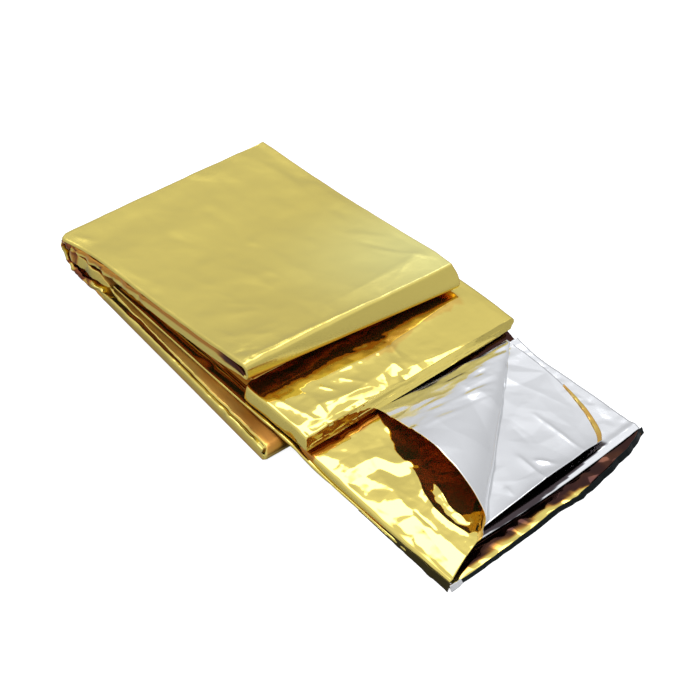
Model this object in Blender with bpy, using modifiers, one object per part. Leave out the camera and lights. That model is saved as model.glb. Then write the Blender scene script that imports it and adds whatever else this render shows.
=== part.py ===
"""Emergency foil blanket, folded into its packet and half opened.

The blanket is one cut sheet of metallised film. It is folded lengthwise into a strip of many
plies, and the strip is folded back and forth into pads that step and fan out a little. The plies
part into pages at the open end, and the front right corner of the topmost page is turned back in
a big dog-ear. Everything is one body, because everything is one sheet.

+X runs across the strip, -Y points to the open end, +Z is up and z = 0 is the surface it lies on.
The tables are in millimetres, with y = 0 at the back of the packet.
"""
import math
from collections import namedtuple

import bpy
from mathutils import Vector
from mathutils.geometry import interpolate_bezier

MM = 0.001

# Driving dimensions, in millimetres.
STRIP_PLIES = 1.9            # thickness of the folded strip
PAGE_PLIES = 1.2             # thickness of a page at the open end
STEP = 9.0                   # length of one facet along the strip
TURN_STEPS = 7               # facets round one fold
COLUMNS = 12                 # facets across the strip
BACK_TO_ORIGIN = 114.75      # from y = 0 in the tables to the middle of the footprint
SIDE_TO_ORIGIN = 51.8        # from x = 0 in the tables to the middle of the footprint

GOLD = (0.58, 0.47, 0.13, 1.0)
GOLD_ROUGHNESS = 0.18

# A section of the strip: where its left and right edges are, at mid thickness.
Section = namedtuple("Section", "y_left y_right x_left x_right z_left z_right")
# A run of the strip between two folds, and how far the fold after it bulges out.
Run = namedtuple("Run", "name sections bulge_left bulge_right")

RUNS = [
    Run("top", [
        Section(0.0, 0.0, -0.3, 101.0, 16.1, 16.1),
        Section(-25.0, -25.0, 2.0, 101.6, 16.6, 16.5),
        Section(-60.0, -60.0, 2.3, 102.2, 18.8, 17.6),
        Section(-95.0, -95.0, 2.3, 102.4, 22.6, 19.6),
        Section(-115.0, -114.5, 2.5, 102.0, 25.0, 21.8),
    ], 2.6, 6.0),
    Run("second", [
        Section(-112.0, -120.0, 3.0, 100.6, 16.2, 15.4),
        Section(-60.0, -60.0, 2.8, 101.6, 14.6, 14.2),
        Section(-6.5, -6.5, 0.6, 101.4, 13.6, 13.6),
    ], 6.4, 6.4),
    Run("bottom", [
        Section(-6.5, -6.5, 1.4, 101.4, 0.95, 0.95),
        Section(-136.6, -136.6, -6.6, 94.6, 0.95, 0.95),
    ], 1.3, 1.3),
    Run("over bottom", [
        Section(-136.6, -136.6, -6.0, 95.0, 3.45, 3.45),
        Section(-20.0, -20.0, 1.0, 102.0, 3.45, 3.45),
    ], 3.9, 3.9),
    Run("middle", [
        Section(-20.0, -20.0, 4.4, 106.0, 11.1, 11.1),
        Section(-80.0, -80.0, 4.7, 106.6, 11.9, 11.7),
        Section(-146.2, -146.2, 4.2, 106.8, 12.7, 12.9),
    ], 2.1, 2.1),
    Run("under middle", [
        Section(-146.2, -146.2, 4.2, 106.2, 8.5, 8.5),
        Section(-28.0, -28.0, 4.4, 106.0, 8.5, 8.5),
    ], 1.3, 1.3),
    Run("open end", [
        Section(-28.0, -28.0, 4.4, 105.4, 5.95, 5.95),
        Section(-100.0, -100.0, 3.6, 105.6, 5.95, 5.95),
        Section(-139.5, -139.5, 3.4, 106.4, 5.95, 5.95),
        Section(-150.0, -150.0, 3.6, 106.8, 3.2, 3.2),
        Section(-162.0, -162.0, 4.0, 107.4, 0.95, 0.95),
        Section(-180.0, -180.0, 4.0, 108.4, 0.95, 0.95),
        Section(-205.0, -200.0, 3.8, 109.0, 0.95, 0.95),
        Section(-228.4, -214.6, 5.4, 110.2, 0.95, 0.95),
    ], 0.0, 0.0),
]

# The middle of the open end's front edge runs forward of a straight line, from here on.
FRONT_BOW = 6.5
FRONT_BOW_FROM = -200.0
FRONT_BOW_TO = -222.0
# The upper pads are a little wavy. The surface that they lie on keeps the lowest runs flat.
WAVE_HEIGHT = 0.55
WAVE_STARTS_AT = 4.0
WAVE_FULL_AT = 22.0

# The topmost page: its left side is the strip's lengthwise fold, its right side is the dog-ear.
PAGE_BACK = -152.6
PAGE_SIDE_BULGE = 2.6
PAGE_FRONT_LEFT = (7.5, -227.4, 3.4)
PAGE_BACK_LEFT = (6.4, PAGE_BACK, 5.6)
PAGE_ROWS = 12
PAGE_COLUMNS = 8
SIDE_TURN_STEPS = 6

# The dog-ear is a cone of film. All its straight lines meet at its tip, and this curve is the
# free edge: it rolls up off the page, arches over and comes down again.
EAR_TIP = (102.0, -153.0, 6.6)
EAR_EDGE = [(22.4, -221.8, 5.3), (35.5, -220.8, 6.4), (30.1, -201.7, 31.5), (38.2, -151.8, 8.0)]
EAR_STEPS = 18
EAR_START = 0.06             # the cone starts this far from its tip

# The page below it, which shows beside the dog-ear and gapes at its front edge.
Edge = namedtuple("Edge", "y x_left x_right z_left z_middle z_right")
INNER_PAGE = [
    Edge(-150.0, 8.0, 101.5, 3.3, 3.3, 3.3),
    Edge(-160.0, 8.0, 102.0, 3.0, 3.0, 3.0),
    Edge(-176.0, 8.0, 101.0, 3.1, 3.4, 3.4),
    Edge(-196.0, 9.0, 98.0, 3.1, 4.4, 3.6),
    Edge(-217.0, 10.0, 91.0, 3.2, 6.6, 4.4),
]
INNER_COLUMNS = 12
INNER_STEPS = 4
INNER_FRONT_SLANT = 6.0      # its front edge is this much further back at the right


def blend(start, end, amount):
    """Mix two numbers, or two tuples of numbers, in a straight line."""
    if isinstance(start, (int, float)):
        return start + (end - start) * amount
    return tuple(a + (b - a) * amount for a, b in zip(start, end))


def curve_through(rows, steps):
    """Points of a smooth curve through rows of numbers, with steps spans between two rows."""
    points = []
    for index in range(len(rows) - 1):
        before = rows[max(index - 1, 0)]
        start, end = rows[index], rows[index + 1]
        after = rows[min(index + 2, len(rows) - 1)]
        count = steps(start, end)
        for step in range(count):
            t = step / count
            points.append(tuple(
                b + 0.5 * t * (c - a + t * (2 * a - 5 * b + 4 * c - d + t * (3 * (b - c) + d - a)))
                for a, b, c, d in zip(before, start, end, after)))
    points.append(tuple(rows[-1]))
    return points


def fold_round(start, end, bulge_left, bulge_right, side):
    """Sections round the fold from one run to the next; side is -1 at the front, +1 at the back."""
    sections = []
    for step in range(1, TURN_STEPS):
        angle = math.pi * step / TURN_STEPS
        section = Section(*blend(start, end, (1 - math.cos(angle)) / 2))
        reach = side * math.sin(angle)
        sections.append(section._replace(y_left=section.y_left + reach * bulge_left,
                                         y_right=section.y_right + reach * bulge_right))
    return sections


def strip_sections():
    """All sections of the folded strip, in order along it."""
    sections = []
    for run, after in zip(RUNS, RUNS[1:] + [None]):
        sections += [Section(*row) for row in curve_through(run.sections, facets_between)]
        if after:
            start, end = run.sections[-1], after.sections[0]
            side = math.copysign(1, start.y_left - run.sections[0].y_left)
            sections += fold_round(start, end, run.bulge_left, run.bulge_right, side)
    return sections


def facets_between(start, end):
    """How many facets the strip has between two sections."""
    return max(1, round(abs(end.y_left - start.y_left) / STEP))


def wave(x, y, z):
    """Lift of the wavy pads: nothing at the surface, and most at the top."""
    share = min(1.0, max(0.0, (z - WAVE_STARTS_AT) / (WAVE_FULL_AT - WAVE_STARTS_AT)))
    swell = math.sin(x / 21 + y / 47) * math.sin(y / 19 - x / 60) + 0.6 * math.sin(x / 11 - y / 33)
    return WAVE_HEIGHT * share * swell


def sheet(name, columns, rows, place, thickness):
    """A flat grid whose points are moved to place(column share, row number), made solid."""
    bpy.ops.mesh.primitive_grid_add(x_subdivisions=columns, y_subdivisions=rows - 1, size=1)
    thing = bpy.context.object
    thing.name = name
    thing.data.name = name
    for vertex in thing.data.vertices:
        row, column = divmod(vertex.index, columns + 1)
        x, y, z = place(column / columns, row)
        vertex.co = Vector((x - SIDE_TO_ORIGIN, y + BACK_TO_ORIGIN, z)) * MM
    solid = thing.modifiers.new("Plies", "SOLIDIFY")
    solid.thickness = thickness * MM
    solid.offset = 0
    return thing


def make_strip():
    """The folded strip, from the free end on top to the open end at the front."""
    sections = strip_sections()

    def place(share, row):
        section = sections[row]
        x = blend(section.x_left, section.x_right, share)
        y = blend(section.y_left, section.y_right, share)
        z = max(blend(section.z_left, section.z_right, share), STRIP_PLIES / 2)
        bow = max(0.0, (y - FRONT_BOW_FROM) / (FRONT_BOW_TO - FRONT_BOW_FROM))
        return x, y - FRONT_BOW * bow * math.sin(math.pi * share), z + wave(x, y, z)

    return sheet("foil_blanket", COLUMNS, len(sections), place, STRIP_PLIES)


def open_end_height(y):
    """Mid-thickness height of the open end's left edge at this place."""
    sections = RUNS[-1].sections
    for start, end in zip(sections, sections[1:]):
        if start.y_left >= y >= end.y_left:
            return blend(start.z_left, end.z_left, (y - start.y_left) / (end.y_left - start.y_left))
    return sections[-1].z_left


def make_top_page():
    """The topmost page: up round the side fold, across, and over into the dog-ear."""
    edge = [tuple(point) for point in interpolate_bezier(*[Vector(p) for p in EAR_EDGE],
                                                         EAR_STEPS + 1)]
    total = SIDE_TURN_STEPS + PAGE_COLUMNS + EAR_STEPS

    def place(share, row):
        reach = blend(EAR_START, 1.0, (row / PAGE_ROWS))
        column = round(share * total)
        left = blend(PAGE_BACK_LEFT, PAGE_FRONT_LEFT, row / PAGE_ROWS)
        if column <= SIDE_TURN_STEPS:
            angle = math.pi * column / SIDE_TURN_STEPS
            foot = open_end_height(left[1])
            x = left[0] - PAGE_SIDE_BULGE * math.sin(angle)
            return x, left[1], blend(foot, left[2], (1 - math.cos(angle)) / 2)
        start = blend(EAR_TIP, edge[0], reach)
        if column <= SIDE_TURN_STEPS + PAGE_COLUMNS:
            return blend(left, start, (column - SIDE_TURN_STEPS) / PAGE_COLUMNS)
        return blend(EAR_TIP, edge[column - SIDE_TURN_STEPS - PAGE_COLUMNS], reach)

    return sheet("top_page", total, PAGE_ROWS + 1, place, PAGE_PLIES)


def make_inner_page():
    """The page below it. Its back end runs into the strip, where the plies part."""
    rows = [Edge(*row) for row in curve_through(INNER_PAGE, lambda start, end: INNER_STEPS)]

    def place(share, row):
        edge = rows[row]
        x = blend(edge.x_left, edge.x_right, share)
        side = blend(edge.z_left, edge.z_right, share)
        z = side + (edge.z_middle - (edge.z_left + edge.z_right) / 2) * math.sin(math.pi * share)
        front = row / (len(rows) - 1)
        return x, edge.y + INNER_FRONT_SLANT * front * (share - 0.5), z

    return sheet("inner_page", INNER_COLUMNS, len(rows), place, PAGE_PLIES)


def join(body, other, collection):
    """Make the other sheet part of the body."""
    union = body.modifiers.new("Join " + other.name, "BOOLEAN")
    union.operation = "UNION"
    union.object = other
    other.hide_render = True
    other.display_type = "WIRE"
    collection.objects.link(other)


def gold_film():
    material = bpy.data.materials.new("gold film")
    material.use_nodes = True
    surface = material.node_tree.nodes["Principled BSDF"]
    surface.inputs["Base Color"].default_value = GOLD
    surface.inputs["Roughness"].default_value = GOLD_ROUGHNESS
    surface.inputs["Metallic"].default_value = 1.0
    return material


def main():
    for thing in list(bpy.data.objects):
        bpy.data.objects.remove(thing)
    blanket = bpy.data.collections.new("Emergency foil blanket")
    pages = bpy.data.collections.new("Pages joined to the strip")
    bpy.context.scene.collection.children.link(blanket)
    bpy.context.scene.collection.children.link(pages)

    strip = make_strip()
    strip.data.materials.append(gold_film())
    for page in (make_inner_page(), make_top_page()):
        for holder in list(page.users_collection):
            holder.objects.unlink(page)
        join(strip, page, pages)
    for holder in list(strip.users_collection):
        holder.objects.unlink(strip)
    blanket.objects.link(strip)


main()
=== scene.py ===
"""Looks of the emergency foil blanket: its folded pads, its opened pages and the stage."""
import math
from collections import namedtuple

import bpy
import numpy as np
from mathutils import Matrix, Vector
from mathutils.geometry import delaunay_2d_cdt, interpolate_bezier


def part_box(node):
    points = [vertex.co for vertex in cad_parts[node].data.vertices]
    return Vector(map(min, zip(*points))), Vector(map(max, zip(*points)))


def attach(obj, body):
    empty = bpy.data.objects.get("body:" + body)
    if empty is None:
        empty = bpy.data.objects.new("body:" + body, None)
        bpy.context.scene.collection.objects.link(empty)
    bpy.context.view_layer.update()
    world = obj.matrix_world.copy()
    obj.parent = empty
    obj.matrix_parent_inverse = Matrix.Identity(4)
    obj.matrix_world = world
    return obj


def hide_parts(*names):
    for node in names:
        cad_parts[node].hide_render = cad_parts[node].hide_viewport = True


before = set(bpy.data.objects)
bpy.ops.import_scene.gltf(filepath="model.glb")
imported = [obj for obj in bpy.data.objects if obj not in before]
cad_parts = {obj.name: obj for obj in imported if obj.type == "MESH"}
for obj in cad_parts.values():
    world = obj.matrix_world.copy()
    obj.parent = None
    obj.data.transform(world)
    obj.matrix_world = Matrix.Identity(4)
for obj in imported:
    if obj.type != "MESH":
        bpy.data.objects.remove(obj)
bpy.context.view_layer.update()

bl_info = {
    "name": "Emergency foil blanket",
    "version": (1, 0, 0),
    "blender": (4, 5, 0),
    "location": "3D View > Sidebar > Blanket",
    "description": "Dresses the folded emergency blanket in its gold and silver film",
    "category": "Object",
}

SOLID = "foil_blanket"
FRAME_LOW, FRAME_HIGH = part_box(SOLID)

# The tables are in millimetres, with y = 0 at the back of the packet. Their leftmost, rearmost
# and lowest points lie on the sides of the solid's box.
MM = 0.001
LEFT_REACH = -6.6
BACK_REACH = 0.86
PLACE = np.array([FRAME_LOW[0] - LEFT_REACH * MM, FRAME_HIGH[1] - BACK_REACH * MM, FRAME_LOW[2]])

# ---------------------------------------------------------------- the strip


def table(kind, rows):
    """A table's rows, with the names of its columns."""
    return [kind(*row) for row in rows]


# A section of the strip: its left and right edge at mid thickness, and its thickness at both.
Section = namedtuple(
    "Section", "y_left y_right x_left x_right z_left z_right thick_left thick_right")

TOP_RUN = table(Section, [
    (0.9, 0.3, 2.4, 101, 15.7, 16.3, 1, 1.2),
    (-0.4, -0.4, 0.2, 101.1, 15.8, 16.3, 1, 1.2),
    (-3, -3, -0.2, 101.2, 15.8, 16.3, 1.1, 1.3),
    (-12, -12, 1.7, 101.4, 16, 16.5, 1.1, 1.3),
    (-25, -25, 2.4, 101.6, 17.2, 16.6, 1.1, 1.3),
    (-50, -50, 2.5, 102, 18.4, 17.6, 1.2, 1.3),
    (-84, -84, 2.4, 102.4, 21.3, 20.2, 1.2, 1.3),
    (-106, -107, 2.3, 102.8, 24, 22.2, 1.2, 1.3),
    (-115.4, -116.5, 2.3, 102.4, 25, 22.5, 1.2, 1.3),
])
FRONT_FOLD = table(Section, [
    (-116.6, -116.8, 2.4, 102.4, 24.6, 22.4, 1.2, 1.3),
    (-117.2, -117.2, 2.4, 102.5, 23.6, 21.9, 1.2, 1.3),
    (-117.4, -119.4, 2.5, 103.2, 22.4, 18.8, 1.2, 1.3),
    (-117.5, -121.4, 2.7, 102.6, 20.6, 16, 1.2, 1.3),
    (-117, -121.6, 2.8, 101.6, 19.6, 15.2, 1.1, 1.2),
])
SECOND_RUN = table(Section, [
    (-115.6, -120.2, 2.8, 101.4, 19.4, 14.8, 1.1, 1.2),
    (-111, -112, 2.7, 101, 20, 15, 3.2, 2.2),
    (-102, -102, 2.7, 101.4, 19.1, 14.9, 5, 2.6),
    (-84, -84, 2.6, 101.6, 17.2, 14.6, 4.5, 2.8),
    (-67, -67, 2.5, 101.6, 15.9, 14.4, 4.5, 2.8),
    (-50, -50, 2.4, 101.6, 15, 14.2, 3.6, 2.8),
    (-28, -28, 2.2, 101.6, 14.1, 13.8, 3.3, 2.3),
    (-14, -14, 1.2, 101.4, 13.9, 13.9, 2.6, 1.9),
    (-6, -6, 0.3, 101.3, 14, 14, 1.6, 1.6),
])
BACK_WRAP = table(Section, [
    SECOND_RUN[-1],
    (-1.6, -1.6, 0.1, 101.2, 14.2, 14.1, 1.5, 1.5),
    (0.7, 0.6, 0, 101.2, 13, 12.8, 1.4, 1.4),
    (1.2, 1.1, 0, 101.2, 10.4, 10.4, 1.4, 1.4),
    (0.8, 0.8, 0.1, 101.2, 7.6, 7.6, 1.4, 1.4),
    (-0.8, -0.8, 0.4, 101.2, 4.6, 4.6, 1.4, 1.4),
    (-3.6, -3.6, 0.8, 101.3, 2.4, 2.4, 1.5, 1.5),
    (-8, -8, 1.3, 101.4, 1.1, 1.1, 1.8, 1.8),
])
BOTTOM_RUN = table(Section, [
    BACK_WRAP[-1],
    (-24, -24, 0.9, 101, 1.5, 0.95, 3, 1.9),
    (-50, -50, -0.8, 100, 2, 0.95, 4, 1.9),
    (-90, -90, -3.4, 97.6, 2.1, 1, 4.2, 2),
    (-138, -137.6, -6.6, 94.6, 2.1, 1, 4.2, 2),
])
OVER_BOTTOM_RUN = table(Section, [
    (-136, -137.4, -4, 94.7, 4.5, 3.2, 0.5, 2),
    (-90, -90, -1, 97.8, 4.5, 3.3, 0.5, 2),
    (-34, -34, 3.2, 101, 3.9, 3.3, 0.8, 2),
    (-26, -26, 2.9, 101, 5.6, 3.3, 2.6, 2),
    (-15, -15, 2, 101, 7.2, 5.3, 5, 3),
    (-5, -5, 1.2, 101, 8.6, 7.3, 5.4, 4),
    (-2.6, -2.6, 1.6, 101, 8.8, 7.6, 3, 3),
])
MIDDLE_RUN = table(Section, [
    (-28, -28, 7, 106, 9.6, 10.2, 3.2, 3),
    (-45, -45, 8, 106.6, 9.8, 10.6, 4, 3),
    (-70, -70, 8.6, 107.2, 10.1, 11, 5, 3.2),
    (-110, -110, 8, 107.8, 10.2, 11.2, 5.4, 3),
    (-113, -113, 7.4, 107.8, 10.1, 11.2, 5.5, 3),
    (-114.8, -114.8, 3.4, 107.8, 10.1, 11.2, 5.5, 3),
    (-130, -130, 3.3, 108, 10.2, 11.3, 5.4, 3),
    (-148.6, -146.6, 3.4, 107.9, 10.1, 11.2, 5.6, 2.6),
])
UNDER_MIDDLE_RUN = table(Section, [
    (-147, -145.6, 6.2, 105.6, 6.9, 8.6, 0.5, 1.6),
    (-70, -70, 8.2, 106, 7.1, 8.3, 0.5, 2),
    (-28, -28, 7, 105.6, 7.4, 7.7, 0.8, 2),
])
LONG_RUN = table(Section, [
    (-28, -28, 4.8, 105.4, 5.9, 5.9, 1, 1.2),
    (-100, -100, 3, 105.6, 5.7, 5.9, 1.1, 1.2),
    (-139.5, -139.5, 2.8, 106.4, 5.6, 5.6, 1.1, 1.2),
    (-150, -150, 3.3, 106.8, 3.5, 3.5, 1.1, 1.2),
    (-162, -162, 4, 107.4, 1.3, 0.9, 1.1, 1.2),
    (-180, -180, 4.1, 108.6, 0.55, 0.6, 1.1, 1.2),
    (-205, -200, 3.6, 109.2, 0.55, 0.6, 1.1, 1.2),
    (-223.4, -212.4, 3.8, 109.8, 0.55, 0.6, 1.1, 1.2),
    (-229, -214.6, 4, 110.2, 0.5, 0.5, 1, 1),
])
# The middle pad's front is a slanting face: from its upper crease to its lower edge.
Corner = namedtuple("Corner", "x y z")
MIDDLE_CREASE = table(Corner, [(3.4, -149.6, 12.9), (106.8, -146.6, 12.6)])
MIDDLE_LOW_EDGE = table(Corner, [
    (3.4, -151.2, 7.4), (34, -150.2, 7.9), (44, -149.8, 7.2), (66, -149.1, 6.9),
    (106.8, -147.6, 8.4),
])
# The bottom pad's top slopes down to its left side, by this much over this width.
BAND_DROP = 0.3
BAND_WIDTH = 6.5
EDGE_RADIUS = 0.9            # of the strip's lengthwise folds
ROUND_STEPS = 5              # facets round one quarter of an edge
SIDE_STEPS = 5               # columns up the top pad's sides, between their rounded edges
SIDE_ROUND = 0.8             # and how much of a thin side its rounded edges may take
END_STEPS = 5                # facets round the strip's free end
# Columns over each pad and page, and the length of the facets where more than one run has it.
TOP_COLUMNS = 150
MIDDLE_COLUMNS = 280
OPEN_COLUMNS = 100
INNER_COLUMNS = 170
LOWER_COLUMNS = 150
FINE_FACET = 0.3             # round the top pad's front fold
PAGE_FACET = 0.6             # on the pages and on the top pad's lower side
PAD_FACET = 4.0              # where the middle pad is covered

# The front edge of the open end lies on a line from its left to its right corner, and runs
# forward of it in the middle.
OPEN_WIDTH = 110.0
OPEN_FRONT_LEFT = -229.6
OPEN_FRONT_RIGHT = -213.6
FRONT_BOW = 2.6
FRONT_BOW_FROM = -200.0      # no bow behind this y,
FRONT_BOW_TO = -222.0        # and all of it here
FRONT_BULGE = 0.7            # the open end's own bulge to its right, as a share of that bow,
BULGE_FROM = 0.60            # between these shares of its width
BULGE_TO = 0.90
BULGE_FADE = 0.12

# ---------------------------------------------------------------- the pages

PAGE_SIDE_BULGE = 1.6
PAGE_SLOPE = 2.2             # how far the page drops to its left edge,
PAGE_SLOPE_REACH = 9.0       # over this width at the front,
PAGE_SLOPE_WIDER = 14.0      # and that much more at the back,
PAGE_SLOPE_POWER = 1.25      # steepest at the edge,
PAGE_ROLL = 0.6              # and the angle by which its rounded side stops short of flat there
PAGE_FRONT_LEFT = (6.0, -228.0, 5.0)
PAGE_BACK_LEFT = (6.4, -146.0, 5.9)
# The dog-ear is a cone of film: its straight lines meet at its tip, and this is its free edge.
EAR_TIP = (102.3, -151.2, 6.8)
EAR_EDGE = [(22.4, -221.8, 5.2), (35.5, -220.8, 6.3), (30.1, -201.7, 31.9), (38.2, -148.8, 6.9)]
EAR_START = 0.02

# Rows of a page from its back to its front edge.
Edge = namedtuple("Edge", "y_left y_right x_left x_right z_left z_middle z_right")
INNER_PAGE = table(Edge, [
    (-148, -148, 10, 103.6, 3.3, 3.6, 4.6),
    (-160, -160, 10, 104.2, 3, 3.6, 3.9),
    (-176, -174, 10, 103.6, 3, 3.9, 3.9),
    (-198, -192, 11, 100.6, 3, 5, 3.8),
    (-213, -206, 14, 96, 3, 6.6, 3.9),
    (-217.8, -211.6, 18, 91.8, 3.2, 8.2, 4.6),
])
LOWER_PAGE = table(Edge, [
    (-150, -150, 10, 107.2, 3.2, 4, 4.6),
    (-164, -162, 10, 107.6, 1.9, 2, 2.1),
    (-184, -180, 10, 108.8, 1.5, 1.6, 1.5),
    (-206, -198, 10, 109.4, 1.4, 1.5, 1.4),
    (-218.8, -213.4, 12, 109.9, 1.4, 1.5, 1.3),
])

# The lower page's front edge curls down from a low ridge, this high and this far behind it, and
# the whole page lies this far clear of the open end.
RIM_HEIGHT = 0.9
RIM_WIDTH = 2.6
LOWER_PAGE_LIFT = 0.18
# It is painted dark under the inner page, as shade, from this far behind a line from its front's
# left to its right.
TUCK_CLEAR = 1.3
TUCK_LEFT = (18, -219.6)
TUCK_RIGHT = (92, -213.2)

# The inner page's right edge is turned over to its gold side in a narrow hem.
HEM_FROM = -180.0
HEM_WIDTH_BACK = 0.6
HEM_WIDTH_FRONT = 2.6
HEM_STEPS = 6                # columns across it
HEM_OVERHANG = 0.25          # past the page's edge
HEM_LIFT = 0.45              # above the page
HEM_GUIDE = 12               # columns of the page that show which way it lies

# The cut edges of the plies below the open end, and its rolled left side: where each strip of
# edges starts and ends, with its height there, its bow to the front and its finish.
CutEdges = namedtuple("CutEdges", "name start end bow finish")
CUT_EDGES = table(CutEdges, [
    ("cut_edges", (9.6, -229.4, 0.7), (110.4, -214.4, 2.5), 3, "edges in painted shade"),
    ("rolled_edge", (4.2, -180, 0.2), (2.8, -229.4, 3.4), 0, "edges in olive painted shade"),
    ("corner_tab", (3.6, -229.8, 2.4), (9.4, -229.4, 1.4), 0.2, "silver film, bright"),
])

CUT_COLUMNS = 260
CUT_ROWS = 7
CUT_FRILL = 0.8              # how far the edges are ruffled out,
CUT_LEAN = 1.2               # how far they lean in at their top
CUT_CLEAR = 0.03             # and how far they stay clear of the floor

# ---------------------------------------------------------------- wrinkles

# A crease in a run: a line on it from one place to another, its height and its half width.
Crease = namedtuple("Crease", "x_from y_from x_to y_to height width")
RIDGE_ROUND = 0.25
CREASE_ENDS = 0.35           # height of a crease at its ends, as a share of its middle
TOP_CREASES = table(Crease, [
    (4, -4, 9, -12, 0.35, 2), (85, -81.5, 94, -100.5, -0.3, 1.8), (84, -71.5, 97.5, -89, 0.2, 2.2),
    (86.6, -90, 101, -111.7, 0.25, 1.4), (60, -107, 101, -104, 0.30, 3),
    (78, -111, 102, -100, 0.25, 1.6), (10, -60, 40, -72, 0.18, 6), (8, -80, 34, -96, 0.22, 5),
    (6, -96, 24, -108, 0.25, 3), (40, -114, 46, -108, 0.25, 1.6),
    (2, -113.4, 64, -115.8, 0.45, 1.8), (22, -57, 26.2, -72, 0.10, 0.8),
    (22.8, -68.8, 26.7, -82.6, 0.12, 0.8), (45.4, -68.9, 48.3, -80, 0.10, 0.7),
    (21.8, -79.6, 31.4, -90.3, 0.13, 0.8), (8.3, -90, 10.8, -99.5, 0.12, 0.7),
    (13.6, -99.8, 28, -102.3, 0.15, 0.9), (19.6, -87.3, 29, -91.1, 0.13, 0.7),
])
MIDDLE_CREASES = table(Crease, [
    (26, -128.5, 60, -131, 0.6, 3.2), (52, -131, 84, -127, 0.38, 3.2),
    (78, -127, 99, -124.5, 0.35, 2.2), (55, -138.5, 55.4, -147, 0.25, 1.2),
    (60.5, -130.5, 59, -138, 0.30, 1), (34, -132, 40.5, -141.5, 0.35, 1.9),
    (17, -139, 40.5, -143.5, 0.45, 1.8), (25.5, -131.5, 29, -137, 0.35, 1.1),
    (9, -127, 13, -143.5, 0.45, 2), (20, -134, 18, -145, 0.35, 1.6),
])
# The film runs down to the middle pad's front from a ragged line on its top, most at the left.
Margin = namedtuple("Margin", "x y slope ragged")
MARGIN_LINE = table(Margin, [
    (2, -141.5, 0, 2.2), (7, -143.5, 0.12, 2.2), (30, -144.5, 0.12, 2), (38, -147, 0.08, 1),
    (44, -147.5, 0, 0.5), (50, -146.5, 0, 0.5), (53, -143.6, 0.17, 0.8), (78, -146, 0.17, 0.3),
    (86, -146.4, 0, 0.2),
])
# Where the shade under the top pad's front ends on the middle pad.
Place = namedtuple("Place", "x y")
SHADE_LINE = table(Place, [
    (3, -126), (20, -125), (29, -125), (41, -127), (59, -131), (67, -130), (77, -126), (98, -126),
    (106, -123),
])
INNER_CREASES = table(Crease, [
    (82.8, -185.7, 82, -212, 0.50, 0.9), (62.3, -199.3, 60.2, -215.6, 0.75, 1.1),
    (65.2, -205, 68.9, -211.4, 0.80, 1.1), (47.7, -208.5, 46.2, -213.8, 0.5, 1),
    (97, -156, 84, -170, 0.25, 2), (88, -160, 96, -190, 0.15, 1.6),
    (72, -186, 70, -198, -0.25, 2.2),
])
# A listed corner between facets: its height is a share of the crumple's.
Peak = namedtuple("Peak", "x y height")
MIDDLE_PEAKS = table(Peak, [
    (8, -146, 0.4), (14, -141, 1), (16, -147, -0.8), (10, -134, -0.6), (20, -132, 0.5),
    (30, -134, -0.4), (42, -133, 0.3), (9, -125, 0.6), (17, -126, -0.7), (24, -142.5, 1.2),
    (32, -142, 1.2), (24, -146.3, -1), (32, -146.3, -1), (38.5, -147.3, -1.5), (46, -147, -1.5),
    (41.5, -141, 1.8), (48.4, -140.5, 2), (50, -143.5, -0.5), (54, -139, 2.4), (50.5, -147.5, -1.2),
    (55.5, -146, -1), (36, -137, 0), (62, -136, 0), (62, -143, 0), (70, -140, 0),
])
PAGE_PEAKS = table(Peak, [
    (8, -155, 0.3), (16, -154, 0), (24, -156, 0.2), (12, -161, -0.1), (20, -162, 0.2),
    (6, -167, 1.3), (14, -167, 1.4), (22, -167.5, 1.3), (6, -171.5, -1.2), (13, -172, -1.3),
    (20, -172.5, -1.2), (25, -174.5, 1.2), (29, -176, 1.2), (22.5, -181, -1.3), (26.5, -182, -1.2),
    (16, -190, 0), (21, -192, 0.1), (15, -199, 0), (20, -201, -0.1), (16, -208, 0.1), (21, -210, 0),
    (17, -217, 0), (22, -218, 0.1), (16, -225, 0), (9, -224, 0.2),
])
PAGE_CREASES = table(Crease, [
    (8, -150, 20, -196, 0.15, 2), (20, -160, 10, -222, 0.25, 2), (24, -206, 40, -222, 0.2, 1.4),
    (30, -190, 12, -210, 0.12, 2.4), (28.4, -181.3, 24.3, -191.5, 0.45, 0.9),
    (24.3, -190, 21.3, -201, 0.60, 1), (21.5, -199.5, 21.1, -210, 0.55, 0.9),
    (21.1, -208.5, 22.6, -217, 0.45, 0.8), (30.4, -190.5, 26.2, -203.5, 0.50, 0.8),
    (26.2, -202.5, 26, -212, 0.45, 0.8), (15.4, -196.9, 15, -209.8, -0.30, 0.6),
])

# ---------------------------------------------------------------- finishes

GOLD = (0.84, 0.68, 0.175, 1.0)
SILVER = (0.96, 0.965, 0.97, 1.0)
# Painted shade: the cut edges below the open end and its rolled left side are painted near black
# and dark olive, for the shade they stand in.
EDGE_SHADE = (0.014, 0.019, 0.019, 1.0)
EDGE_OLIVE_SHADE = (0.06, 0.048, 0.016, 1.0)
# Painted shade: far into a fold, under other plies and between the pads, the film's colour is
# painted darker, and the gold redder, for the shade and the gold seen in gold there.
SHADED_GOLD = (0.72, 0.34, 0.06, 1.0)
DARKEST_SHADED_GOLD = (0.24, 0.07, 0.03, 1.0)
SHADED_SILVER = (0.22, 0.215, 0.235, 1.0)
# No light reaches the film in a painted shadow. Where a painted sheen is marked, its colour is this
# many times as light.
SHADOW = (0.034, 0.014, 0.015, 1.0)
PAINTED_SHEEN = (1.3, 1.36, 2.0, 1.0)


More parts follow.
